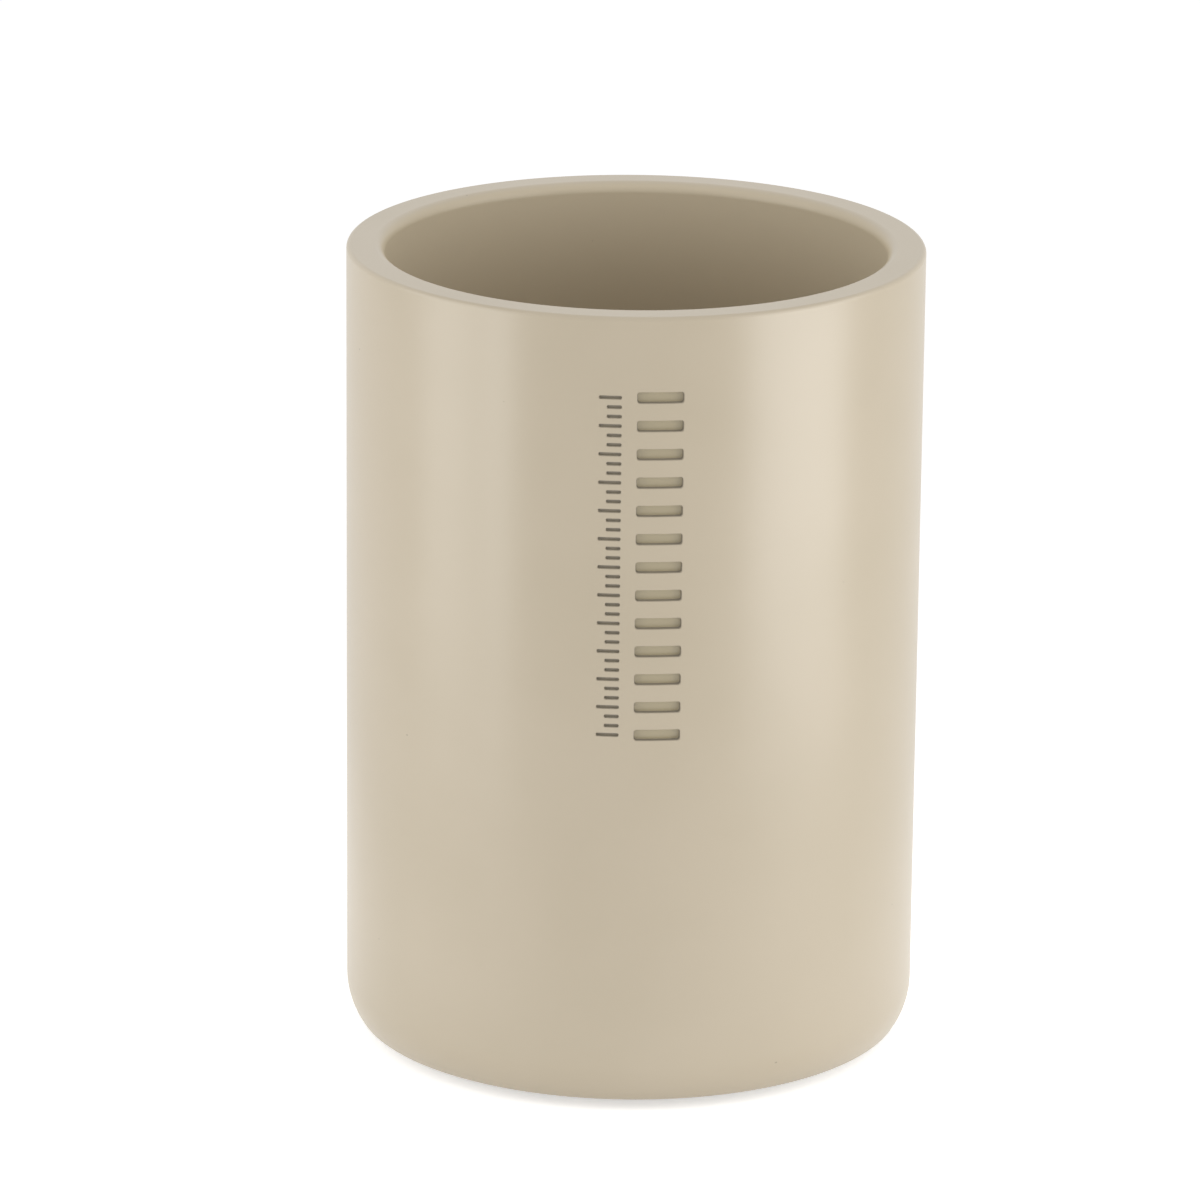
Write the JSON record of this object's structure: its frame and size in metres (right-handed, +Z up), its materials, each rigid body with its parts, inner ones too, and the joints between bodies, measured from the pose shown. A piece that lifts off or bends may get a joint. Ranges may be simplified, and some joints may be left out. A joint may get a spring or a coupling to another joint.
{
  "type": "bathroom tumbler",
  "caption": "Thick-walled round tumbler with a soft foot and an engraved graduation on its front, standing on foam pads under its sole.",
  "frame": {"origin": "on the cup's axis, in the plane of the shelf that its foot pads stand on", "axes": "+Z up along the cup's axis, towards its mouth; -Y towards the front, where the engraved marks are; +X to the right as seen from the front"},
  "size_m": [0.074, 0.074, 0.105],
  "materials": {
    "resin": "satin",
    "film": "gloss",
    "foam": "matte"
  },
  "bodies": {
    "root": {"cup_body": "resin", "foot_film_1": "film", "foot_film_2": "film", "foot_film_3": "film", "foot_film_4": "film", "foot_pad_1": "foam", "foot_pad_2": "foam", "foot_pad_3": "foam", "foot_pad_4": "foam"}
  },
  "joints": []
}
